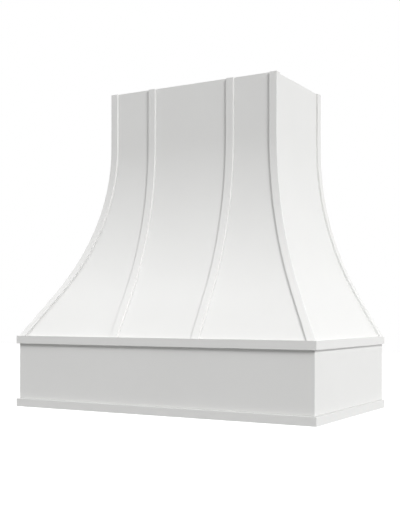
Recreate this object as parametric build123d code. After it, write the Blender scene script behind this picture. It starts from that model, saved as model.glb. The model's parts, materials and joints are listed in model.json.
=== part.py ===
from build123d import *
import math
import os

# A painted wooden cover for a kitchen range hood: a square apron at the bottom, a body
# that flares out to meet it, and a straight chimney above. It hangs on a wall cleat.
# Millimetres. X runs along the wall, -Y comes out into the room and Z is up.
# The origin is on the wall, at the middle of the cover's bottom edge.

# Overall sizes
cover_height = 1066.8
apron_width = 1066.8
apron_depth = 579.4
apron_height = 237.3
chimney_straight = 186.8
flare_reach = 221.2
flare_straight = 157.6

# Board and sheet thicknesses
board_thickness = 19.05
skin_thickness = 6.35
strap_thickness = 6.35
strap_overhang = 2.1
trim_thickness = 7.94
panel_thickness = 12.7

# Straps and trim strips
strap_width = 25.4
front_strap_spacing = 296.2
lower_trim_height = 26.4
upper_trim_height = 26.2

# Ribs and frames
rib_depth = 50.8
side_rib_setback = 190.0
top_rail_width = 50.8
deck_rail_width = 88.9
lower_wall_rail_height = 88.9
bottom_rear_rail_height = 63.5
ledger_size = 25.4
glue_block_leg = 50.0

# Hanging cleats
cleat_height = 88.9
cleat_top_gap = 76.2
hood_cleat_end_gap = 9.5
wall_cleat_end_gap = 16.0
cleat_rail_height = 88.9
stud_spacing = 406.4
lag_hole_radius = 4.5
lag_end_distance = 20.0
wall_screw_hole_radius = 3.5

# Liner panel and its cut-out for the ventilation insert
liner_recess = 25.4
insert_cutout_width = 723.9
insert_cutout_depth = 368.3

# Countersunk wood screws
screw_shank_radius = 1.75
screw_head_radius = 4.0
screw_head_height = 2.4
screw_tip_cover = 6.35
liner_screws_across = 3
liner_screws_deep = 3
cleat_screw_count = 4
cleat_screw_inset = 40.0
cleat_screw_drop = 29.6

# Clearances
glue_line = 0.1
running_gap = 0.3
panel_edge_gap = 1.0
screw_hole_clearance = 0.3

# How far a cutter runs past the face that it cuts through
cutter_overrun = 5.0

# The chimney's outer faces follow from the apron, the flare and the strap's overhang
chimney_width = apron_width + 2 * (strap_overhang - flare_reach)
chimney_depth = apron_depth + strap_overhang - flare_reach
flare_top = cover_height - chimney_straight
flare_drop = flare_top - apron_height
flare_angle = 2 * math.atan(flare_reach / (flare_drop + flare_straight))
flare_radius = (flare_drop - flare_straight * math.cos(flare_angle)) / math.sin(flare_angle)

# Depths in from the straps' outer faces
skin_face = strap_thickness + glue_line
skin_back = skin_face + skin_thickness
rib_face = skin_back + glue_line
rib_back = rib_face + rib_depth

# Places that several pieces share
inner_half_width = apron_width / 2 - board_thickness
inner_depth = apron_depth - board_thickness
deck_bottom = apron_height - board_thickness
rib_top = cover_height - board_thickness
cleat_rail_back = -board_thickness
cleat_rail_front = cleat_rail_back - board_thickness
hood_cleat_bottom = cover_height - cleat_top_gap - cleat_height
rear_rib_gap = chimney_width - 2 * rib_back
hood_cleat_length = rear_rib_gap - 2 * hood_cleat_end_gap
wall_cleat_length = rear_rib_gap - 2 * wall_cleat_end_gap
ledger_bottom = liner_recess + panel_thickness + running_gap
ledger_top = ledger_bottom + ledger_size
ledger_middle = inner_half_width - ledger_size / 2
liner_screw_length = ledger_top - liner_recess - screw_tip_cover
cleat_screw_length = 2 * board_thickness - screw_tip_cover

# Wall fixings stand on as many studs as the wall cleat crosses
stud_count = 1 + int((wall_cleat_length - 2 * lag_end_distance) // stud_spacing)
stud_places = [stud_spacing * (number - (stud_count - 1) / 2) for number in range(stud_count)]

# The mitre between front and right side is one upright plane at 45 degrees for every layer
hip_plane = Plane((chimney_width / 2, -chimney_depth, 0), z_dir=(1, 1, 0))


def beyond(shape, plane):
    """The part of the shape on the side that the plane's normal points to."""
    return split(shape, bisect_by=plane, keep=Keep.TOP)


def before(shape, plane):
    """The part of the shape on the side that the plane's normal points away from."""
    return split(shape, bisect_by=plane, keep=Keep.BOTTOM)


def mirrored(shape):
    """The same piece on the other side of the cover's middle."""
    return mirror(shape, about=Plane.YZ)


def mitred_front(shape):
    """A front piece, cut by the mitre at both its ends."""
    right_cut = before(shape, hip_plane)
    return mirrored(before(mirrored(right_cut), hip_plane))


def block(x_range, y_range, z_range):
    """A rectangular block between the given limits."""
    size = [high - low for low, high in (x_range, y_range, z_range)]
    centre = [(low + high) / 2 for low, high in (x_range, y_range, z_range)]
    return Pos(*centre) * Box(*size)


def flare_line(depth, stretch, top):
    """Straight, curved and straight stretches of the flare, this deep under the straps' faces."""
    radius = flare_radius + depth
    turn = math.degrees(flare_angle)
    tangent_u = flare_radius - radius * math.cos(flare_angle)
    tangent_z = flare_top - radius * math.sin(flare_angle)
    foot_u = flare_reach - depth / math.cos(flare_angle)
    upright = Line((-depth * stretch, top), (-depth * stretch, flare_top))
    centre = (flare_radius * stretch, flare_top)
    if stretch == 1:
        bend = CenterArc(centre, radius, 180, arc_size=turn)
    else:
        bend = EllipticalCenterArc(centre, radius * stretch, radius, 180, arc_size=turn)
    slope = Line((tangent_u * stretch, tangent_z), (foot_u * stretch, apron_height))
    return upright, bend, slope


def flare_band(outer, inner, stretch=1, top=cover_height):
    """The upright section of a bent layer between two depths, drawn outwards and up."""
    outer_line = flare_line(outer, stretch, top)
    inner_line = flare_line(inner, stretch, top)
    head = Line(outer_line[0] @ 0, inner_line[0] @ 0)
    foot = Line(outer_line[2] @ 1, inner_line[2] @ 1)
    return make_face([*outer_line, foot, *inner_line, head])


def along_front(section, left, right):
    """An upright section of the front, drawn out between two places along the wall."""
    plane = Plane((right, -chimney_depth, 0), x_dir=(0, -1, 0), z_dir=(-1, 0, 0))
    return extrude(plane * section, right - left)


def along_side(section, rear, front):
    """An upright section of the right side, drawn out between two distances from the wall."""
    plane = Plane((chimney_width / 2, -rear, 0), x_dir=(1, 0, 0), z_dir=(0, -1, 0))
    return extrude(plane * section, front - rear)


def front_layer(outer, inner, left, right, top=cover_height):
    """A bent layer of the front, between two places along the wall."""
    return along_front(flare_band(outer, inner, top=top), left, right)


def side_layer(outer, inner, rear, front, top=cover_height):
    """A bent layer of the right side, between two distances from the wall."""
    return along_side(flare_band(outer, inner, top=top), rear, front)


def skins():
    """Bent plywood skins of the body, mitred at the front corners."""
    half = apron_width / 2
    front = mitred_front(front_layer(skin_face, skin_back, -half, half))
    side = beyond(side_layer(skin_face, skin_back, 0, apron_depth), hip_plane)
    return {"front_skin": front, "right_skin": side, "left_skin": mirrored(side)}


def front_straps():
    """Two flat straps down the front, between the corners."""
    low = (front_strap_spacing - strap_width) / 2
    strap = front_layer(0, strap_thickness, low, low + strap_width)
    return {"front_strap_right": strap, "front_strap_left": mirrored(strap)}


def inboard_section():
    """All that lies more than a strap's width inside a corner, seen square on to the face."""
    edge = [Pos(-strap_width, 0) * stretch for stretch in flare_line(0, 1, cover_height)]
    head = edge[0] @ 0
    foot = edge[2] @ 1
    far_head = (-chimney_width, cover_height)
    far_foot = (-chimney_width, apron_height)
    return make_face([*edge, Line(foot, far_foot), Line(far_foot, far_head), Line(far_head, head)])


def corner_straps():
    """A strap each side of each front corner, mitred to its neighbour and square at its other edge."""
    reach = chimney_width / 2 + flare_reach
    depth = chimney_depth + flare_reach
    on_front = before(front_layer(0, strap_thickness, 0, reach), hip_plane)
    on_front -= along_side(inboard_section(), 0, depth + cutter_overrun)
    on_side = beyond(side_layer(0, strap_thickness, 0, depth), hip_plane)
    on_side -= along_front(inboard_section(), 0, reach + cutter_overrun)
    return {
        "corner_strap_front_right": on_front,
        "corner_strap_front_left": mirrored(on_front),
        "corner_strap_side_right": on_side,
        "corner_strap_side_left": mirrored(on_side),
    }


def rear_straps():
    """A strap down the rear edge of each side, against the wall."""
    strap = side_layer(0, strap_thickness, 0, strap_width)
    return {"rear_strap_right": strap, "rear_strap_left": mirrored(strap)}


def front_ribs():
    """Curved ribs behind the front straps, from the deck to the top rails."""
    low = (front_strap_spacing - board_thickness) / 2
    rib = front_layer(rib_face, rib_back, low, low + board_thickness, rib_top)
    return {"front_rib_right": rib, "front_rib_left": mirrored(rib)}


def side_ribs():
    """Curved ribs in the middle of each side and at its rear edge."""
    middle = side_layer(rib_face, rib_back, side_rib_setback, side_rib_setback + board_thickness, rib_top)
    rear = side_layer(rib_face, rib_back, 0, board_thickness, rib_top)
    return {
        "side_rib_right": middle,
        "side_rib_left": mirrored(middle),
        "rear_rib_right": rear,
        "rear_rib_left": mirrored(rear),
    }


def hip_ribs():
    """Corner ribs in the mitre plane, bevelled to both skins."""
    corner = (chimney_width / 2, -chimney_depth, 0)
    section = Plane(corner, x_dir=(1, -1, 0), z_dir=(-1, -1, 0))
    profile = flare_band(skin_face, rib_back, math.sqrt(2), rib_top)
    plate = extrude(section * profile, board_thickness / 2, both=True)
    reach = chimney_width / 2 + flare_reach
    behind_front = front_layer(rib_face, rib_back + rib_depth, 0, reach, rib_top)
    depth = chimney_depth + flare_reach
    behind_side = side_layer(rib_face, rib_back + rib_depth, 0, depth, rib_top)
    rib = plate & behind_front & behind_side
    return {"hip_rib_right": rib, "hip_rib_left": mirrored(rib)}


def top_frame():
    """Four flat rails round the top, which the skins and ribs are fixed to."""
    height = (rib_top, cover_height)
    outer_x = chimney_width / 2 - rib_face
    inner_x = outer_x - top_rail_width
    outer_y = rib_face - chimney_depth
    inner_y = outer_y + top_rail_width
    front = mitred_front(block((-outer_x, outer_x), (outer_y, inner_y), height))
    right = beyond(block((inner_x, outer_x), (outer_y, 0), height), hip_plane)
    rear = block((-inner_x, inner_x), (-top_rail_width, 0), height)
    return {
        "top_rail_front": front,
        "top_rail_right": right,
        "top_rail_left": mirrored(right),
        "top_rail_rear": rear,
    }


def deck_frame():
    """Four flat rails inside the apron's top edge, which the ribs stand on."""
    height = (deck_bottom, apron_height)
    inner_x = inner_half_width - deck_rail_width
    front_y = (-inner_depth, deck_rail_width - inner_depth)
    front = mitred_front(block((-inner_half_width, inner_half_width), front_y, height))
    right = beyond(block((inner_x, inner_half_width), (-inner_depth, 0), height), hip_plane)
    rear = block((-inner_x, inner_x), (-deck_rail_width, 0), height)
    return {
        "deck_rail_front": front,
        "deck_rail_right": right,
        "deck_rail_left": mirrored(right),
        "deck_rail_rear": rear,
    }


def wrapped(name, outer_half, outer_depth, thickness, height):
    """A front board and two side boards of one height, mitred round the apron."""
    front_y = (-outer_depth, thickness - outer_depth)
    front = mitred_front(block((-outer_half, outer_half), front_y, height))
    side = block((outer_half - thickness, outer_half), (-outer_depth, 0), height)
    side = beyond(side, hip_plane)
    return {f"{name}_front": front, f"{name}_right": side, f"{name}_left": mirrored(side)}


def apron():
    """The box at the bottom and the flat trim strips round its two edges."""
    trim_half = apron_width / 2 + trim_thickness
    trim_depth = apron_depth + trim_thickness
    upper = (apron_height - upper_trim_height, apron_height)
    pieces = wrapped("apron", apron_width / 2, apron_depth, board_thickness, (0, apron_height))
    pieces |= wrapped("lower_trim", trim_half, trim_depth, trim_thickness, (0, lower_trim_height))
    pieces |= wrapped("upper_trim", trim_half, trim_depth, trim_thickness, upper)
    return pieces


def round_hole(x, z, radius):
    """A cutter for a hole through a board that stands against the wall."""
    length = 2 * (board_thickness + cutter_overrun)
    return Pos(x, 0, z) * Rot(90, 0, 0) * Cylinder(radius, length)


def rear_rails():
    """Upright rails across the back of the apron; the lower wall rail takes wall screws."""
    across = (-inner_half_width, inner_half_width)
    thickness = (-board_thickness, 0)
    wall_rail = block(across, thickness, (deck_bottom - lower_wall_rail_height, deck_bottom))
    hole_height = deck_bottom - lower_wall_rail_height / 2
    for x in stud_places:
        wall_rail -= round_hole(x, hole_height, wall_screw_hole_radius)
    bottom_rail = block(across, thickness, (0, bottom_rear_rail_height))
    return {"lower_wall_rail": wall_rail, "bottom_rear_rail": bottom_rail}


def ledgers():
    """Square strips round the inside of the apron, which the liner panel is screwed up to."""
    height = (ledger_bottom, ledger_top)
    half = inner_half_width - ledger_size
    front_y = (-inner_depth, ledger_size - inner_depth)
    rear_y = (-board_thickness - ledger_size, -board_thickness)
    side_y = (front_y[1], rear_y[0])
    strips = {
        "ledger_front": block((-inner_half_width, inner_half_width), front_y, height),
        "ledger_right": block((half, inner_half_width), side_y, height),
        "ledger_left": block((-inner_half_width, -half), side_y, height),
        "ledger_rear": block((-inner_half_width, inner_half_width), rear_y, height),
    }
    for x, y in liner_screw_places():
        pilot = Pos(x, y, liner_recess) * countersunk(liner_screw_length, screw_hole_clearance)
        strips = {name: strip - pilot for name, strip in strips.items()}
    return strips


def glue_blocks():
    """Triangular blocks in the apron's front corners, between ledger and deck."""
    corner = (inner_half_width, -inner_depth)
    inwards = (inner_half_width - glue_block_leg, -inner_depth)
    backwards = (inner_half_width, glue_block_leg - inner_depth)
    triangle = make_face(Polyline(corner, inwards, backwards, close=True))
    right = extrude(Pos(0, 0, ledger_top) * triangle, deck_bottom - ledger_top)
    return {"corner_glue_blocks": Compound(children=[right, mirrored(right)])}


def cleat_section(bottom, top, bottom_bevel, top_bevel, thickness):
    """A cleat's upright section: y out from the wall, z up, bevelled at 45 degrees."""
    return Polyline(
        (0, bottom),
        (thickness, bottom + bottom_bevel),
        (thickness, top + top_bevel),
        (0, top),
        close=True,
    )


def cleat(section, length):
    """A cleat of this section, centred along the wall."""
    plane = Plane((length / 2, 0, 0), x_dir=(0, -1, 0), z_dir=(-1, 0, 0))
    return extrude(plane * make_face(section), length)


def countersunk(length, clearance=0.0):
    """A screw that points up, with the flat of its head at the origin, or the hole for it."""
    upwards = (Align.CENTER, Align.CENTER, Align.MIN)
    head_radius = screw_head_radius + clearance
    shank_radius = screw_shank_radius + clearance
    head = Cone(head_radius, shank_radius, screw_head_height, align=upwards)
    return head + Cylinder(shank_radius, length + clearance, align=upwards)


def cleat_screw_places():
    """Places along the wall of the screws that hold the hood cleat."""
    step = (hood_cleat_length - 2 * cleat_screw_inset) / (cleat_screw_count - 1)
    first = cleat_screw_inset - hood_cleat_length / 2
    return [first + step * number for number in range(cleat_screw_count)]


def cleats():
    """The cover's cleat on its rail, the screws through both, and the cleat on the wall."""
    hood_top = hood_cleat_bottom + cleat_height
    hood_section = cleat_section(hood_cleat_bottom, hood_top, board_thickness, 0, board_thickness)
    hood = cleat(hood_section, hood_cleat_length)

    thickness = board_thickness - running_gap
    wall_top = hood_cleat_bottom - running_gap * math.sqrt(2)
    wall_bottom = wall_top + thickness - cleat_height
    wall_section = cleat_section(wall_bottom, wall_top, 0, thickness, thickness)
    wall = cleat(wall_section, wall_cleat_length)
    for x in stud_places:
        wall -= round_hole(x, wall_top - cleat_height / 2, lag_hole_radius)

    rail_half = chimney_width / 2 - rib_face
    rail_height = (hood_top - cleat_rail_height, hood_top)
    rail = block((-rail_half, rail_half), (cleat_rail_front, cleat_rail_back), rail_height)
    screw_height = hood_top - cleat_screw_drop
    screws = []
    for x in cleat_screw_places():
        place = Pos(x, cleat_rail_front, screw_height) * Rot(-90, 0, 0)
        hole = place * countersunk(cleat_screw_length, screw_hole_clearance)
        hood -= hole
        rail -= hole
        screws.append(place * countersunk(cleat_screw_length))
    return {
        "hood_cleat": hood,
        "cleat_rail": rail,
        "cleat_screws": Compound(children=screws),
        "wall_cleat": wall,
    }


def liner_screw_places():
    """Places of the liner's screws: along the middle of each ledger strip."""
    front = ledger_size / 2 - inner_depth
    rear = -board_thickness - ledger_size / 2
    across = 2 * ledger_middle / (liner_screws_across - 1)
    deep = (rear - front) / (liner_screws_deep - 1)
    places = []
    for column in range(liner_screws_across):
        for row in range(liner_screws_deep):
            on_edge = column in (0, liner_screws_across - 1) or row in (0, liner_screws_deep - 1)
            if on_edge:
                places.append((across * column - ledger_middle, front + deep * row))
    return places


def liner():
    """The panel that closes the apron and carries the ventilation insert, and its screws."""
    half = inner_half_width - panel_edge_gap
    front = panel_edge_gap - inner_depth
    rear = -board_thickness - panel_edge_gap
    height = (liner_recess, liner_recess + panel_thickness)
    panel = block((-half, half), (front, rear), height)
    middle = (front + rear) / 2
    cut_height = 2 * (panel_thickness + cutter_overrun)
    cutout = Box(insert_cutout_width, insert_cutout_depth, cut_height)
    panel -= Pos(0, middle, liner_recess) * cutout
    screws = []
    for x, y in liner_screw_places():
        place = Pos(x, y, liner_recess)
        panel -= place * countersunk(liner_screw_length, screw_hole_clearance)
        screws.append(place * countersunk(liner_screw_length))
    return {"liner_panel": panel, "liner_screws": Compound(children=screws)}


pieces = {}
for make in (
    apron,
    skins,
    front_straps,
    corner_straps,
    rear_straps,
    front_ribs,
    side_ribs,
    hip_ribs,
    top_frame,
    deck_frame,
    rear_rails,
    ledgers,
    glue_blocks,
    cleats,
    liner,
):
    pieces |= make()

os.makedirs("parts", exist_ok=True)
for name, shape in pieces.items():
    export_step(shape, f"parts/{name}.step")
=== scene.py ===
import json
import math

import bmesh
import bpy
from mathutils import Matrix, Vector


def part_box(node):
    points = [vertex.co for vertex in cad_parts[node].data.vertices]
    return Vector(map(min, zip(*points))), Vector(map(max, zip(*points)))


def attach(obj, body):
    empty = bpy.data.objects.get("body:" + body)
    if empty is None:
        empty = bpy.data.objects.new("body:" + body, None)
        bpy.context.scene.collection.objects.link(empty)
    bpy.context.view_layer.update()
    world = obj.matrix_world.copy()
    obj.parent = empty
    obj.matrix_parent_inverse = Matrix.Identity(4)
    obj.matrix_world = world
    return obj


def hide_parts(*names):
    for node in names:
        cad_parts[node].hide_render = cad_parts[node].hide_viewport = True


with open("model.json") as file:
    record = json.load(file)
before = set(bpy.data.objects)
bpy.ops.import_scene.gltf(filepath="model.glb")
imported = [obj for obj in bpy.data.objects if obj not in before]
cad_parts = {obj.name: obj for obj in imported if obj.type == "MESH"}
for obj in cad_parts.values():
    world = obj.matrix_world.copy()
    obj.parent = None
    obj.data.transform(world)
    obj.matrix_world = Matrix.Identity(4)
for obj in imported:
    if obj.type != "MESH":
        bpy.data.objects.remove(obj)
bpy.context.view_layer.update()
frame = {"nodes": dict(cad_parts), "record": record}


# Plywood frames. Four rails lie flat round the chimney's top and four round the apron's top
# edge. They are birch plywood, sawn to width, mitred or butted, and glued and screwed.

def group_sockets(group, inputs, outputs):
    """Gives a shader node group its named inputs, with their first values, and its outputs."""
    for name, kind, value in inputs:
        socket = group.interface.new_socket(name, in_out="INPUT", socket_type=kind)
        if value is not None:
            socket.default_value = value
    for name, kind in outputs:
        group.interface.new_socket(name, in_out="OUTPUT", socket_type=kind)
    return group.nodes.new("NodeGroupInput"), group.nodes.new("NodeGroupOutput")


def feed(tree, socket, value):
    """Links an input to another socket, or gives it a plain value."""
    if isinstance(value, bpy.types.NodeSocket):
        tree.links.new(value, socket)
    else:
        socket.default_value = value


def math_node(tree, operation, *values):
    """A maths node whose inputs are sockets or plain numbers; returns its output socket."""
    node = tree.nodes.new("ShaderNodeMath")
    node.operation = operation
    for socket, value in zip(node.inputs, values):
        feed(tree, socket, value)
    return node.outputs[0]


def noise_node(tree, vector, scale, detail, roughness=0.5):
    """Soft noise over a vector; returns its factor socket."""
    node = tree.nodes.new("ShaderNodeTexNoise")
    node.inputs["Scale"].default_value = scale
    node.inputs["Detail"].default_value = detail
    node.inputs["Roughness"].default_value = roughness
    tree.links.new(vector, node.inputs["Vector"])
    return node.outputs["Fac"]


def stretched(tree, vector, scale):
    """The vector with each of its parts scaled; returns the output socket."""
    node = tree.nodes.new("ShaderNodeVectorMath")
    node.operation = "MULTIPLY"
    tree.links.new(vector, node.inputs[0])
    node.inputs[1].default_value = scale
    return node.outputs[0]


def blend_colours(tree, factor, first, second):
    """A colour mix whose inputs are sockets or plain colours; returns its output socket."""
    node = tree.nodes.new("ShaderNodeMix")
    node.data_type = "RGBA"
    factor_socket, first_socket, second_socket = node.inputs[0], node.inputs[6], node.inputs[7]
    feed(tree, factor_socket, factor)
    feed(tree, first_socket, first)
    feed(tree, second_socket, second)
    return node.outputs[2]


def spread(tree, value, low, high):
    """Maps a factor from 0 and 1 to low and high; returns the output socket."""
    node = tree.nodes.new("ShaderNodeMapRange")
    feed(tree, node.inputs["Value"], value)
    feed(tree, node.inputs["To Min"], low)
    feed(tree, node.inputs["To Max"], high)
    return node.outputs["Result"]


finish_outputs = [
    ("Color", "NodeSocketColor"),
    ("Roughness", "NodeSocketFloat"),
    ("Height", "NodeSocketFloat"),
]


def make_veneer_group():
    """Birch plywood: figured veneer on the faces, light and dark plies along the edges. The
    figure is the sum of long streaks, a slow drift, and rings where the peeled log was cut."""
    drift_grain = (1.2, 7, 7)
    streak_grain = (9, 260, 260)
    pore_grain = (70, 1500, 1500)
    fleck_grain = 1400.0
    ring_count = 12.0
    ring_sharpness = 2.0
    ring_share = 0.35
    streak_share = 0.6
    drift_share = 0.5
    palest = -0.55
    darkest = 1.05
    end_grain_dark = (0.2, 0.11, 0.05, 1)
    group = bpy.data.node_groups.new("birch_layers", "ShaderNodeTree")
    inlet, outlet = group_sockets(
        group,
        [
            ("Grain", "NodeSocketVector", None),
            ("Across", "NodeSocketFloat", 0.0),
            ("Plies", "NodeSocketFloat", 9.0),
            ("Pale", "NodeSocketColor", (0.76, 0.61, 0.41, 1)),
            ("Dark", "NodeSocketColor", (0.5, 0.34, 0.18, 1)),
        ],
        finish_outputs,
    )
    grain = inlet.outputs["Grain"]
    drift = noise_node(group, stretched(group, grain, drift_grain), scale=1.0, detail=2.0)
    streaks = noise_node(group, stretched(group, grain, streak_grain), scale=1.0, detail=4.0, roughness=0.6)
    pores = noise_node(group, stretched(group, grain, pore_grain), scale=1.0, detail=2.0)
    contours = math_node(group, "FRACT", math_node(group, "MULTIPLY", drift, ring_count))
    rings = math_node(group, "MULTIPLY", math_node(group, "POWER", contours, ring_sharpness), ring_share)
    slow = math_node(group, "MULTIPLY_ADD", drift, drift_share, rings)
    figure = math_node(group, "MULTIPLY_ADD", streaks, streak_share, slow)
    shade = spread(group, figure, palest, darkest)
    face = blend_colours(group, shade, inlet.outputs["Pale"], inlet.outputs["Dark"])
    ply = math_node(group, "MULTIPLY", inlet.outputs["Across"], inlet.outputs["Plies"])
    last_ply = math_node(group, "SUBTRACT", inlet.outputs["Plies"], 1.0)
    ply_number = math_node(group, "MINIMUM", math_node(group, "FLOOR", ply), last_ply)
    end_grain = math_node(group, "MODULO", ply_number, 2.0)
    flecks = noise_node(group, grain, scale=fleck_grain, detail=2.0)
    ends = blend_colours(group, spread(group, flecks, 0.2, 0.8), inlet.outputs["Dark"], end_grain_dark)
    group.links.new(blend_colours(group, end_grain, face, ends), outlet.inputs["Color"])
    group.links.new(spread(group, streaks, 0.5, 0.72), outlet.inputs["Roughness"])
    group.links.new(math_node(group, "ADD", pores, streaks), outlet.inputs["Height"])
    return group


def attribute_socket(tree, name, output):
    """A mesh attribute's output socket."""
    node = tree.nodes.new("ShaderNodeAttribute")
    node.attribute_name = name
    return node.outputs[output]


def finish_material(name, group, links, bump_strength, bump_distance, settings=()):
    """A material whose colour, roughness and bump come from one node group."""
    material = bpy.data.materials.new(name)
    material.use_nodes = True
    tree = material.node_tree
    shader = tree.nodes["Principled BSDF"]
    effect = tree.nodes.new("ShaderNodeGroup")
    effect.node_tree = group
    for socket, (attribute, output) in links.items():
        tree.links.new(attribute_socket(tree, attribute, output), effect.inputs[socket])
    for socket, value in settings:
        effect.inputs[socket].default_value = value
    bump = tree.nodes.new("ShaderNodeBump")
    bump.inputs["Strength"].default_value = bump_strength
    bump.inputs["Distance"].default_value = bump_distance
    tree.links.new(effect.outputs["Color"], shader.inputs["Base Color"])
    tree.links.new(effect.outputs["Roughness"], shader.inputs["Roughness"])
    tree.links.new(effect.outputs["Height"], bump.inputs["Height"])
    tree.links.new(bump.outputs["Normal"], shader.inputs["Normal"])
    return material


grain_links = {"Grain": ("grain", "Vector"), "Across": ("across", "Fac")}
birch_group = make_veneer_group()
birch_plywood = finish_material(
    "bare_birch_plywood", birch_group, grain_links, bump_strength=0.25, bump_distance=0.0002
)

ease = 0.0007
long_edge = 0.02
weld_gap = 1e-6
flat_turn = math.radians(0.3)
sharp_turn = math.radians(40)
grain_step = 0.37
grain_steps = 29
along_x = Vector((1, 0, 0))
along_y = Vector((0, 1, 0))
along_z = Vector((0, 0, 1))
node_body = {node: body for body, nodes in frame["record"]["behaviour"]["bodies"].items() for node in nodes}


def lay_grain(piece, length_axis, thickness_axis, across=None):
    """Stores where each point lies along the grain and, from 0 to 1, through the thickness. The
    grain is shifted by a number of steps that comes from the piece's name, so that boards differ."""
    mesh = piece.data
    side_axis = length_axis.cross(thickness_axis)
    if across is None:
        depths = [vertex.co.dot(thickness_axis) for vertex in mesh.vertices]
        low = min(depths)
        thickness = max(depths) - low
        across = [(depth - low) / thickness for depth in depths]
    shift = grain_step * (sum(map(ord, piece.name)) % grain_steps)
    layer = mesh.attributes.new("across", "FLOAT", "POINT")
    layer.data.foreach_set("value", across)
    grain = mesh.attributes.new("grain", "FLOAT_VECTOR", "POINT")
    for vertex, value in zip(mesh.vertices, grain.data):
        along = vertex.co.dot(length_axis) + shift
        aside = vertex.co.dot(side_axis) + shift
        value.vector = (along, aside, vertex.co.dot(thickness_axis))


def new_object(name, data):
    """A new object in the scene."""
    made = bpy.data.objects.new(name, data)
    bpy.context.scene.collection.objects.link(made)
    return made


def settle(piece, node, *materials):
    """Gives a piece its materials and smooth faces, its body, and the node that it stands for."""
    piece.data.materials.clear()
    for material in materials:
        piece.data.materials.append(material)
    piece.data.set_sharp_from_angle(angle=sharp_turn)
    for face in piece.data.polygons:
        face.use_smooth = True
    normals = piece.modifiers.new("flat_faces_stay_flat", "WEIGHTED_NORMAL")
    normals.keep_sharp = True
    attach(piece, node_body[node])
    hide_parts(node)


def sawn_copy(node, length_axis, thickness_axis, material):
    """A packed board with its sawn edges eased, in place of the board itself."""
    piece = new_object(node + "_board", frame["nodes"][node].data.copy())
    work = bmesh.new()
    work.from_mesh(piece.data)
    bmesh.ops.remove_doubles(work, verts=work.verts, dist=weld_gap)
    bmesh.ops.dissolve_limit(work, angle_limit=flat_turn, verts=work.verts, edges=work.edges)
    sharp = [
        edge for edge in work.edges
        if edge.is_manifold and edge.calc_face_angle() > sharp_turn and edge.calc_length() > long_edge
    ]
    bmesh.ops.bevel(work, geom=sharp, offset=ease, segments=2, profile=0.5, affect="EDGES")
    work.to_mesh(piece.data)
    work.free()
    settle(piece, node, material)
    lay_grain(piece, length_axis, thickness_axis)
    return piece


rail_grain = {
    "top_rail_front": along_x,
    "top_rail_rear": along_x,
    "top_rail_left": along_y,
    "top_rail_right": along_y,
    "deck_rail_front": along_x,
    "deck_rail_rear": along_x,
    "deck_rail_left": along_y,
    "deck_rail_right": along_y,
}
for node, grain_axis in rail_grain.items():
    sawn_copy(node, grain_axis, along_z, birch_plywood)


# Curved ribs. Each is sawn from birch plywood to the flare's line: two behind the front
# straps, one in the middle and one at the rear of each side, and a hip rib in each corner.

strap_thickness = 0.00635
chimney_straight = 0.1868
flare_straight = 0.1576
arc_steps = 28
ease_turns = [math.radians(angle) for angle in (0, 30, 60, 90)]

strap_low, strap_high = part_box("corner_strap_side_right")
chimney_half = strap_low.x + strap_thickness
chimney_top = strap_high.z
flare_foot = strap_low.z
flare_reach = strap_high.x - chimney_half
chimney_depth = -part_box("corner_strap_front_right")[0].y - flare_reach
flare_top = chimney_top - chimney_straight
flare_drop = flare_top - flare_foot
flare_angle = 2 * math.atan(flare_reach / (flare_drop + flare_straight))
flare_radius = (flare_drop - flare_straight * math.cos(flare_angle)) / math.sin(flare_angle)


def flare_line(depth, top):
    """Points down the flare, as outward reach and height, this deep under the straps' faces."""
    line = [(-depth, top), (-depth, (top + flare_top) / 2), (-depth, flare_top)]
    for step in range(1, arc_steps + 1):
        turn = flare_angle * step / arc_steps
        radius = flare_radius + depth
        line.append((flare_radius - radius * math.cos(turn), flare_top - radius * math.sin(turn)))
    line.append((flare_reach - depth / math.cos(flare_angle), flare_foot))
    return line


def face_reach(height):
    """How far out the straps' faces stand at this height."""
    drop = max(0.0, flare_top - height)
    curved = min(drop, flare_radius * math.sin(flare_angle))
    return flare_radius - math.sqrt(flare_radius**2 - curved**2) + (drop - curved) * math.tan(flare_angle)


def stays(reach, height):
    """An edge that runs straight down the flare, always at the same place along the wall."""
    return 0.0


def with_mitre(reach, height):
    """An edge at a corner's mitre, which moves out as far as the surface does."""
    return reach


def with_far_mitre(reach, height):
    """The same for the corner at the other end."""
    return -reach


def with_face(reach, height):
    """An edge that runs beside the mitre, at an even distance from it on the straps' faces."""
    return face_reach(height)


def on_front(along, reach, height):
    """A place on the front, counted along X."""
    return Vector((along, -chimney_depth - reach, height))


def on_front_mirrored(along, reach, height):
    """A place on the front, counted the other way."""
    return Vector((-along, -chimney_depth - reach, height))


def on_right(along, reach, height):
    """A place on the right side, counted from the wall."""
    return Vector((chimney_half + reach, -along, height))


def on_left(along, reach, height):
    """A place on the left side, counted from the wall."""
    return Vector((-chimney_half - reach, -along, height))


def closed_mesh(name, rings):
    """A closed mesh from rings of points, one face between neighbours and one at each end."""
    count = len(rings[0])
    points = [point for ring in rings for point in ring]
    faces = [tuple(range(count)), tuple(range(len(points) - count, len(points)))]
    for start in range(0, len(points) - count, count):
        for corner in range(count):
            after = (corner + 1) % count
            faces.append((start + corner, start + after, start + count + after, start + count + corner))
    mesh = bpy.data.meshes.new(name)
    mesh.from_pydata(points, [], faces)
    work = bmesh.new()
    work.from_mesh(mesh)
    bmesh.ops.recalc_face_normals(work, faces=work.faces)
    work.to_mesh(mesh)
    work.free()
    return new_object(name, mesh)


def bent_piece(name, section, where, top):
    """A piece that follows the flare. The section lists places along the wall, how each of them
    moves outwards with the flare, and its depth under the straps' faces."""
    lines = [flare_line(depth, top) for place, shift, depth in section]
    rings = []
    for stretch in zip(*lines):
        ring = [
            where(place + shift(reach, height), reach, height)
            for (place, shift, depth), (reach, height) in zip(section, stretch)
        ]
        rings.append(ring)
    return closed_mesh(name, rings)


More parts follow.
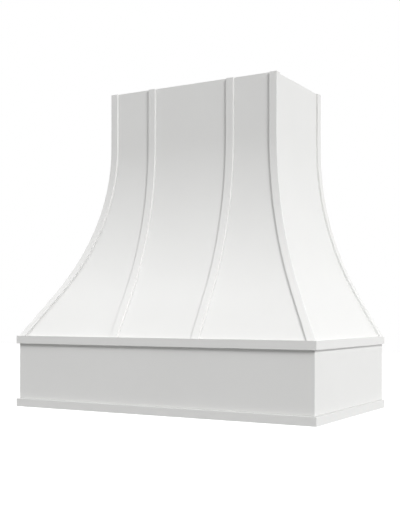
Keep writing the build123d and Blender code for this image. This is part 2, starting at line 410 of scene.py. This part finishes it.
def eased_section(low, high, outer, inner, radius):
    """A rectangle between two places along the wall and two depths, with eased corners."""
    section = []
    corners = ((low, inner, 1, -1), (low, outer, 1, 1), (high, outer, -1, 1), (high, inner, -1, -1))
    for along, depth, inwards, deeper in corners:
        arc = []
        for turn in ease_turns:
            inset = radius * (1 - math.cos(turn))
            sink = radius * (1 - math.sin(turn))
            arc.append((along + inwards * inset, stays, depth + deeper * sink))
        section += arc if inwards * deeper > 0 else arc[::-1]
    return section


rib_low, rib_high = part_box("front_rib_right")
rib_top = rib_high.z
rib_thickness = rib_high.x - rib_low.x
rib_depth = 0.0508
rib_outer = chimney_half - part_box("top_rail_right")[1].x
rib_inner = rib_outer + rib_depth
side_rib_low = -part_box("side_rib_right")[1].y
rib_places = {
    "front_rib_left": (-rib_high.x, on_front),
    "front_rib_right": (rib_low.x, on_front),
    "side_rib_left": (side_rib_low, on_left),
    "side_rib_right": (side_rib_low, on_right),
    "rear_rib_left": (0.0, on_left),
    "rear_rib_right": (0.0, on_right),
}
for node, (start, where) in rib_places.items():
    section = eased_section(start, start + rib_thickness, rib_outer, rib_inner, ease)
    rib = bent_piece(node + "_curve", section, where, rib_top)
    settle(rib, node, birch_plywood)
    lay_grain(rib, along_z, along_x if where is on_front else along_y)

for node, side in (("hip_rib_left", -1), ("hip_rib_right", 1)):
    through = Vector((side, 1, 0)).normalized()
    sawn_copy(node, along_z, through, birch_plywood)


# Wall rails and hanging cleats. Plywood rails set on edge tie the back; the cover's cleat is
# screwed to its rail, and its bevel hooks over the cleat that is bolted to the wall.

for node in ("lower_wall_rail", "cleat_rail", "hood_cleat", "wall_cleat"):
    sawn_copy(node, along_x, along_y, birch_plywood)


# Screws. Countersunk wood screws of zinc-plated steel with a square socket, driven up
# through the liner panel into the ledger strips, and through the rail into the cleat.

screw_head_radius = 0.004
screw_head_height = 0.0024
screw_shank_radius = 0.00175
screw_root_radius = 0.00125
screw_point_length = 0.004
thread_pitch = 0.0018
socket_half = 0.0011
socket_depth = 0.0016
socket_centre = 0.15
screw_sides = 24
thread_steps = 10
thread_flank = 4
cleat_screw_count = 4


def make_zinc_group():
    """Zinc plating: a faint brushed drift of tone and gloss."""
    group = bpy.data.node_groups.new("zinc_plating", "ShaderNodeTree")
    inlet, outlet = group_sockets(
        group,
        [
            ("Bright", "NodeSocketColor", (0.66, 0.62, 0.52, 1)),
            ("Dull", "NodeSocketColor", (0.48, 0.45, 0.38, 1)),
        ],
        finish_outputs,
    )
    place = group.nodes.new("ShaderNodeTexCoord").outputs["Object"]
    cloud = noise_node(group, place, scale=900.0, detail=3.0)
    fine = noise_node(group, place, scale=6000.0, detail=2.0)
    plating = blend_colours(group, cloud, inlet.outputs["Bright"], inlet.outputs["Dull"])
    group.links.new(plating, outlet.inputs["Color"])
    group.links.new(spread(group, cloud, 0.25, 0.45), outlet.inputs["Roughness"])
    group.links.new(fine, outlet.inputs["Height"])
    return group


zinc_steel = finish_material(
    "zinc_plated_steel", make_zinc_group(), {}, bump_strength=0.05, bump_distance=0.00005
)
zinc_steel.node_tree.nodes["Principled BSDF"].inputs["Metallic"].default_value = 1.0


def screw_rings(length):
    """Rings up a screw from its socket's floor, over the head and along the thread to the point."""
    turns = [math.tau * side / screw_sides for side in range(screw_sides)]
    square = [socket_half / max(abs(math.cos(turn)), abs(math.sin(turn))) for turn in turns]
    rings = []
    for reach, height in ((socket_centre, socket_depth), (1, socket_depth), (1, 0.0)):
        rings.append([(reach * size, turn, height) for size, turn in zip(square, turns)])
    for radius, height in ((screw_head_radius, 0.0), (screw_shank_radius, screw_head_height)):
        rings.append([(radius, turn, height) for turn in turns])
    height = screw_head_height + thread_pitch
    while height < length:
        taper = min(1.0, (length - height) / screw_point_length)
        ring = []
        for turn in turns:
            phase = (height / thread_pitch - turn / math.tau) % 1.0
            crest = max(0.0, 1 - abs(phase - 0.5) * thread_flank)
            radius = screw_root_radius + (screw_shank_radius - screw_root_radius) * crest
            ring.append((radius * taper, turn, height))
        rings.append(ring)
        height += thread_pitch / thread_steps
    return [[Vector((r * math.cos(t), r * math.sin(t), z)) for r, t, z in ring] for ring in rings]


def screw_set(node, heads, length, axis):
    """All the screws of one node, as one piece."""
    turned = along_z.rotation_difference(axis)
    work = bmesh.new()
    for head in heads:
        one = closed_mesh(node + "_one", screw_rings(length))
        one.data.transform(turned.to_matrix().to_4x4())
        one.data.transform(Matrix.Translation(head))
        work.from_mesh(one.data)
        bpy.data.objects.remove(one)
    mesh = bpy.data.meshes.new(node + "_threaded")
    work.to_mesh(mesh)
    work.free()
    piece = new_object(node + "_threaded", mesh)
    settle(piece, node, zinc_steel)


def axis_places(low, high, count):
    """Evenly spaced places from low to high."""
    return [low + (high - low) * number / (count - 1) for number in range(count)]


screws_low, screws_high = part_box("cleat_screws")
screw_row = (screws_low.z + screws_high.z) / 2
first_screw = screws_low.x + screw_head_radius
cleat_places = axis_places(first_screw, -first_screw, cleat_screw_count)
cleat_heads = [Vector((x, screws_low.y, screw_row)) for x in cleat_places]
screw_set("cleat_screws", cleat_heads, screws_high.y - screws_low.y, along_y)


# Apron. Three boards of birch plywood, 19 mm thick, make the square box at the bottom. Their
# corners are mitred, glued, filled and rounded over a little; outside they are painted, and
# their paint carries painted shade in the inside corners.

# Painted shade: within this reach of an inside corner, the paint colour is darkened towards black.
painted_shade_reach = 0.003
painted_shade_black = (0, 0, 0, 1)


def make_paint_group():
    """Sprayed satin paint: a fine orange peel, a slow drift of tone and sheen, and painted shade:
    the colour is darkened towards black in the inside corners from an ambient occlusion mask, as
    far as the corner-shade input says, from 1, where there is none, to 0."""
    group = bpy.data.node_groups.new("sprayed_film", "ShaderNodeTree")
    inlet, outlet = group_sockets(
        group,
        [
            ("Film", "NodeSocketColor", (0.76, 0.76, 0.75, 1)),
            ("Thin", "NodeSocketColor", (0.735, 0.735, 0.725, 1)),
            ("Corner", "NodeSocketFloat", 1.0),
        ],
        finish_outputs,
    )
    place = group.nodes.new("ShaderNodeTexCoord").outputs["Object"]
    drift = noise_node(group, place, scale=6.0, detail=2.0)
    peel = noise_node(group, place, scale=420.0, detail=2.0, roughness=0.4)
    sheen = noise_node(group, place, scale=35.0, detail=3.0)
    tone = blend_colours(group, drift, inlet.outputs["Film"], inlet.outputs["Thin"])
    # Painted shade: an ambient occlusion mask darkens the paint colour in inside corners.
    corner = group.nodes.new("ShaderNodeAmbientOcclusion")
    corner.samples = 8
    corner.inputs["Distance"].default_value = painted_shade_reach
    shade = spread(group, corner.outputs["AO"], inlet.outputs["Corner"], 1.0)
    group.links.new(blend_colours(group, shade, painted_shade_black, tone), outlet.inputs["Color"])
    group.links.new(spread(group, sheen, 0.42, 0.52), outlet.inputs["Roughness"])
    group.links.new(peel, outlet.inputs["Height"])
    return group


paint_group = make_paint_group()
orange_peel = {"bump_strength": 0.08, "bump_distance": 0.00015}
# The apron boards and the lower trim get painted shade: their paint darkens under the upper trim and along
# the lower trim's ledge.
apron_shade_settings = [("Corner", 0.48)]
white_paint = finish_material("white_satin_paint", paint_group, {}, **orange_peel)
apron_paint_with_shade = finish_material("white_apron_paint", paint_group, {}, settings=apron_shade_settings, **orange_peel)

apron_low, apron_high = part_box("apron_front")
apron_half = apron_high.x
apron_depth = -apron_low.y
apron_height = apron_high.z
board_thickness = apron_high.y - apron_low.y
apron_corner = 0.0016
long_ease = 0.00015
corner_turns = [math.radians(angle) for angle in (0, 15, 30, 45)]


def board_section(thickness, low, high, radius, breaks=()):
    """A board's section as depth and height: both outer edges rounded, the inner ones square."""
    section = []
    for edge, inwards in ((low, 1), (high, -1)):
        arc = []
        for turn in reversed(ease_turns):
            sink = radius * (1 - math.sin(turn))
            arc.append((radius * (1 - math.cos(turn)), edge + inwards * sink))
        section += arc if inwards > 0 else arc[::-1]
    section.append((thickness, high))
    section += [(thickness, height) for height in breaks]
    section.append((thickness, low))
    return section


def wrapped_rings(section, length, corner, both_ends):
    """Rings along a board that is mitred at one or both ends, where its corner is rounded."""
    stops = [(length - corner * (1 - math.sin(turn)), turn) for turn in corner_turns]
    if both_ends:
        stops = [(-along, turn) for along, turn in reversed(stops)] + stops
    else:
        stops.insert(0, (0.0, 0.0))
    rings = []
    for stop, turn in stops:
        sink = corner * (1 - math.cos(turn))
        ring = []
        for depth, height in section:
            deep = depth + sink * (depth < corner)
            at_mitre = turn == corner_turns[-1]
            limit = length - deep
            along = math.copysign(limit if at_mitre else min(abs(stop), limit), stop)
            ring.append((along if stop else 0.0, deep, height))
        rings.append(ring)
    return rings


def wrap_apron(name, section, half, reach, corner):
    """The front board and both side boards of one strip round the apron, by their nodes."""
    across = wrapped_rings(section, half, corner, True)
    front = [[Vector((along, depth - reach, z)) for along, depth, z in ring] for ring in across]
    side = wrapped_rings(section, reach, corner, False)
    right = [[Vector((half - depth, -along, z)) for along, depth, z in ring] for ring in side]
    left = [[Vector((depth - half, -along, z)) for along, depth, z in ring] for ring in side]
    return {
        name + "_front": closed_mesh(name + "_front_painted", front),
        name + "_right": closed_mesh(name + "_right_painted", right),
        name + "_left": closed_mesh(name + "_left_painted", left),
    }


def bare_where(piece, is_bare):
    """Gives the second material to each face that was left unpainted."""
    for face in piece.data.polygons:
        face.material_index = int(is_bare(face))


liner_low, liner_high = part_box("liner_panel")
square_on = 0.9


def inside_apron(face):
    """True on a face that looks inwards or at the wall, above the liner panel's underside."""
    if abs(face.normal.x) > square_on:
        facing = face.normal.x * face.center.x < 0
    else:
        facing = face.normal.y > square_on
    return facing and face.center.z > liner_low.z


apron_section = board_section(board_thickness, 0.0, apron_height, long_ease, (liner_high.z, liner_low.z))
for node, board in wrap_apron("apron", apron_section, apron_half, apron_depth, apron_corner).items():
    grain_axis, through = (along_x, along_y) if node == "apron_front" else (along_y, along_x)
    # The apron boards' paint carries painted shade in their inside corners.
    settle(board, node, apron_paint_with_shade, birch_plywood)
    lay_grain(board, grain_axis, through)
    bare_where(board, inside_apron)


# Bottom rear rail. A plywood rail is glued between the side boards and closes the apron at
# the wall. Its underside and front show from below, so they are painted.

rear_rail = sawn_copy("bottom_rear_rail", along_x, along_y, white_paint)
rear_rail.data.materials.append(birch_plywood)
bare_where(rear_rail, lambda face: face.normal.z > -square_on and face.normal.y > -square_on)


# Ledger strips and glue blocks. Square pine strips run round the inside of the apron for
# the liner panel, and a triangular pine block is glued into each front corner.

def make_pine_group():
    """Planed pine: growth rings drawn out along the grain, with resin-dark late wood. The strips
    are sawn some way off the log's heart, so that the rings only curve a little."""
    sway_grain = (3, 18, 18)
    fibre_grain = (25, 900, 900)
    off_heart = 0.06
    heart_radius = 0.03
    ring_rate = 2400.0
    ring_sway = 9.0
    late_sharpness = 2.5
    late_share = 0.6
    fibre_share = 0.35
    group = bpy.data.node_groups.new("pine_rings", "ShaderNodeTree")
    inlet, outlet = group_sockets(
        group,
        [
            ("Grain", "NodeSocketVector", None),
            ("Early", "NodeSocketColor", (0.68, 0.46, 0.23, 1)),
            ("Late", "NodeSocketColor", (0.42, 0.2, 0.07, 1)),
        ],
        finish_outputs,
    )
    grain = inlet.outputs["Grain"]
    sway = noise_node(group, stretched(group, grain, sway_grain), scale=1.0, detail=2.0)
    parts = group.nodes.new("ShaderNodeSeparateXYZ")
    group.links.new(stretched(group, grain, (0, 1, 1)), parts.inputs[0])
    aside = math_node(group, "ADD", parts.outputs["Y"], off_heart)
    squared = math_node(group, "ADD", math_node(group, "POWER", aside, 2.0), heart_radius**2)
    from_heart = math_node(group, "POWER", squared, 0.5)
    swaying = math_node(group, "MULTIPLY", sway, ring_sway)
    rings = math_node(group, "MULTIPLY_ADD", from_heart, ring_rate, swaying)
    wave = math_node(group, "MULTIPLY_ADD", math_node(group, "SINE", rings), 0.5, 0.5)
    late = math_node(group, "POWER", wave, late_sharpness)
    fibre = noise_node(group, stretched(group, grain, fibre_grain), scale=1.0, detail=3.0)
    dark_rings = math_node(group, "MULTIPLY", late, late_share)
    tone = math_node(group, "MULTIPLY_ADD", fibre, fibre_share, dark_rings)
    wood = blend_colours(group, tone, inlet.outputs["Early"], inlet.outputs["Late"])
    group.links.new(wood, outlet.inputs["Color"])
    group.links.new(spread(group, fibre, 0.45, 0.65), outlet.inputs["Roughness"])
    group.links.new(math_node(group, "ADD", fibre, late), outlet.inputs["Height"])
    return group


pine_links = {"Grain": grain_links["Grain"]}
planed_pine = finish_material(
    "planed_pine", make_pine_group(), pine_links, bump_strength=0.2, bump_distance=0.0002
)
for node, grain_axis in (
    ("ledger_front", along_x),
    ("ledger_rear", along_x),
    ("ledger_left", along_y),
    ("ledger_right", along_y),
    ("corner_glue_blocks", along_z),
):
    other = along_x if grain_axis is along_y else along_y
    sawn_copy(node, grain_axis, other, planed_pine)


# Trim strips. Flat solid strips, 8 mm thick, are glued round the apron's bottom and top
# edges and mitred at the corners, then painted with the rest.

trim_corner = 0.0012
# The lower trim's paint carries painted shade along its ledge; the upper trim's paint has none.
for strip, paint in (("lower_trim", apron_paint_with_shade), ("upper_trim", white_paint)):
    trim_low, trim_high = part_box(strip + "_front")
    trim_thickness = trim_high.y - trim_low.y
    trim_section = board_section(trim_thickness, trim_low.z, trim_high.z, long_ease)
    for node, board in wrap_apron(strip, trim_section, trim_high.x, -trim_low.y, trim_corner).items():
        settle(board, node, paint)


# Body skins. Three sheets of 6 mm bending plywood are glued and stapled over the ribs, in
# the flare's curve, and mitred along the front corners. Only their outsides are painted.

glue_line = 0.0001
skin_thickness = 0.00635
skin_outer = strap_thickness + glue_line
skin_inner = skin_outer + skin_thickness
edge_on = 0.3


def skin_section(start, shift, hip):
    """A skin's section, mitred along the hip at its far end."""
    outer = [(start, shift, skin_outer), (hip, with_mitre, skin_outer)]
    inner = [(start, shift, skin_inner), (hip, with_mitre, skin_inner)]
    return [outer[0], *inner, outer[1]]


for node, section, where, outward in (
    ("front_skin", skin_section(-chimney_half, with_far_mitre, chimney_half), on_front, -along_y),
    ("right_skin", skin_section(0.0, stays, chimney_depth), on_right, along_x),
    ("left_skin", skin_section(0.0, stays, chimney_depth), on_left, -along_x),
):
    skin = bent_piece(node + "_bent", section, where, chimney_top)
    settle(skin, node, white_paint, birch_plywood)
    lay_grain(skin, along_z, outward, [0.0, 1.0, 1.0, 0.0] * (len(skin.data.vertices) // 4))
    bare_where(skin, lambda face: face.normal.dot(outward) < edge_on and face.normal.z < square_on)


# Straps. Flat strips 25 mm wide and 6 mm thick lie on the skins: two down the front, a pair
# mitred over each front corner, and one along the rear edge of each side. All are painted.

strap_width = 0.0254
strap_ease = 0.0005
hip_corner = 0.0014
mid_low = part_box("front_strap_right")[0].x
for node, start, where in (
    ("front_strap_right", mid_low, on_front),
    ("front_strap_left", -mid_low - strap_width, on_front),
    ("rear_strap_right", 0.0, on_right),
    ("rear_strap_left", 0.0, on_left),
):
    section = eased_section(start, start + strap_width, 0.0, strap_thickness, strap_ease)
    strap = bent_piece(node + "_bent", section, where, chimney_top)
    settle(strap, node, white_paint)


def hip_section(hip):
    """A corner strap's section: half of a round edge at the mitre, and a square, eased inner edge."""
    section = []
    for turn in corner_turns:
        back = hip_corner * (1 - math.sin(turn))
        sink = hip_corner * (1 - math.cos(turn))
        section.append((hip - back + sink, with_mitre, sink))
    inner = hip - strap_width
    section += [(hip, with_mitre, strap_thickness), (inner, with_face, strap_thickness)]
    for turn in ease_turns:
        inset = strap_ease * (1 - math.cos(turn))
        sink = strap_ease * (1 - math.sin(turn))
        section.append((inner + inset, with_face, sink))
    return section


for node, hip, where in (
    ("corner_strap_front_right", chimney_half, on_front),
    ("corner_strap_front_left", chimney_half, on_front_mirrored),
    ("corner_strap_side_right", chimney_depth, on_right),
    ("corner_strap_side_left", chimney_depth, on_left),
):
    strap = bent_piece(node + "_bent", hip_section(hip), where, chimney_top)
    settle(strap, node, white_paint)


# Liner panel. A plywood panel with the cut-out for the ventilation insert closes the apron
# from below. It is painted like the outside and held by eight screws.

panel = frame["nodes"]["liner_panel"]
panel.data.materials.clear()
panel.data.materials.append(white_paint)

screws_a_side = 3
outer_rows = (0, screws_a_side - 1)
panel_screws_low, panel_screws_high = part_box("liner_screws")
head_x = panel_screws_high.x - screw_head_radius
head_front = panel_screws_low.y + screw_head_radius
head_rear = panel_screws_high.y - screw_head_radius
liner_heads = [
    Vector((x, y, panel_screws_low.z))
    for column, x in enumerate(axis_places(-head_x, head_x, screws_a_side))
    for row, y in enumerate(axis_places(head_front, head_rear, screws_a_side))
    if column in outer_rows or row in outer_rows
]
screw_set("liner_screws", liner_heads, panel_screws_high.z - panel_screws_low.z, along_z)


# Floor, light and view. A pale floor lies where a kitchen floor would, under an even light
# from the room, and the camera stands at the photograph's angle.

floor_drop = 1.66
floor_half = 40.0
matt_tone = (0.3, 0.3, 0.3, 1)
seen_tone = (0.45, 0.45, 0.45, 1)
seen_glow = 0.62
floor_mesh = bpy.data.meshes.new("kitchen_floor")
floor_mesh.from_pydata(
    [(x * floor_half, y * floor_half, -floor_drop) for x, y in ((-1, -1), (1, -1), (1, 1), (-1, 1))],
    [],
    [(0, 1, 2, 3)],
)
new_object("kitchen_floor", floor_mesh)


def directly_seen(tree):
    """A mask that is 1 for the camera, and for what shows in gloss or glass; returns its socket."""
    path = tree.nodes.new("ShaderNodeLightPath")
    direct = math_node(tree, "MAXIMUM", path.outputs["Is Camera Ray"], path.outputs["Is Glossy Ray"])
    return math_node(tree, "MAXIMUM", direct, path.outputs["Is Transmission Ray"])


def make_floor_material():
    """A pale floor that the camera and reflections see as white, with the object's shadow. From
    below it can be seen through."""
    material = bpy.data.materials.new("pale_floor")
    material.use_nodes = True
    tree = material.node_tree
    tree.nodes.remove(tree.nodes["Principled BSDF"])
    output = tree.nodes["Material Output"]
    matt = tree.nodes.new("ShaderNodeBsdfDiffuse")
    matt.inputs["Color"].default_value = matt_tone
    seen = tree.nodes.new("ShaderNodeBsdfDiffuse")
    seen.inputs["Color"].default_value = seen_tone
    glow = tree.nodes.new("ShaderNodeEmission")
    glow.inputs["Strength"].default_value = seen_glow
    both = tree.nodes.new("ShaderNodeAddShader")
    tree.links.new(seen.outputs[0], both.inputs[0])
    tree.links.new(glow.outputs[0], both.inputs[1])
    mix = tree.nodes.new("ShaderNodeMixShader")
    tree.links.new(directly_seen(tree), mix.inputs[0])
    tree.links.new(matt.outputs[0], mix.inputs[1])
    tree.links.new(both.outputs[0], mix.inputs[2])
    clear = tree.nodes.new("ShaderNodeBsdfTransparent")
    backs = tree.nodes.new("ShaderNodeMixShader")
    tree.links.new(tree.nodes.new("ShaderNodeNewGeometry").outputs["Backfacing"], backs.inputs[0])
    tree.links.new(mix.outputs[0], backs.inputs[1])
    tree.links.new(clear.outputs[0], backs.inputs[2])
    tree.links.new(backs.outputs[0], output.inputs["Surface"])
    return material


floor_mesh.materials.append(make_floor_material())

room_light = 0.03
world = bpy.data.worlds.new("white_room")
bpy.context.scene.world = world
world.use_nodes = True
room = world.node_tree
backdrop = room.nodes["Background"]
backdrop.inputs["Color"].default_value = (1, 1, 1, 1)
room.links.new(spread(room, directly_seen(room), room_light, 1.0), backdrop.inputs["Strength"])


def far_lamp(name, azimuth, elevation, width, strength):
    """A distant lamp this many degrees wide. At azimuth 0 it faces the front, at 90 the right side."""
    lamp = bpy.data.lights.new(name, "SUN")
    lamp.angle = math.radians(width)
    lamp.energy = math.pi * strength
    holder = new_object(name, lamp)
    turn = math.radians(azimuth)
    rise = math.radians(elevation)
    level = math.cos(rise)
    toward = Vector((math.sin(turn) * level, -math.cos(turn) * level, math.sin(rise)))
    holder.rotation_euler = toward.to_track_quat("Z", "Y").to_euler()


far_lamp("key_lamp", azimuth=60, elevation=34, width=20, strength=0.76)
far_lamp("overhead_lamp", azimuth=-60, elevation=75, width=60, strength=0.345)
far_lamp("front_lamp", azimuth=-45, elevation=45, width=60, strength=0.285)
far_lamp("right_lamp", azimuth=100, elevation=10, width=60, strength=0.38)
far_lamp("rear_lamp", azimuth=-145, elevation=30, width=60, strength=0.55)

camera_data = bpy.data.cameras.new("photo_view")
camera_data.lens = 59.9
camera_data.sensor_width = 36.0
camera_data.shift_x = 0.0035
camera_data.shift_y = 0.0887
camera = new_object("photo_view", camera_data)
camera.location = (1.4778, -2.8621, 0.3114)
camera.rotation_euler = [math.radians(angle) for angle in (90.034, -0.065, 29.997)]
bpy.context.scene.camera = camera
bpy.context.scene.view_settings.view_transform = "Standard"
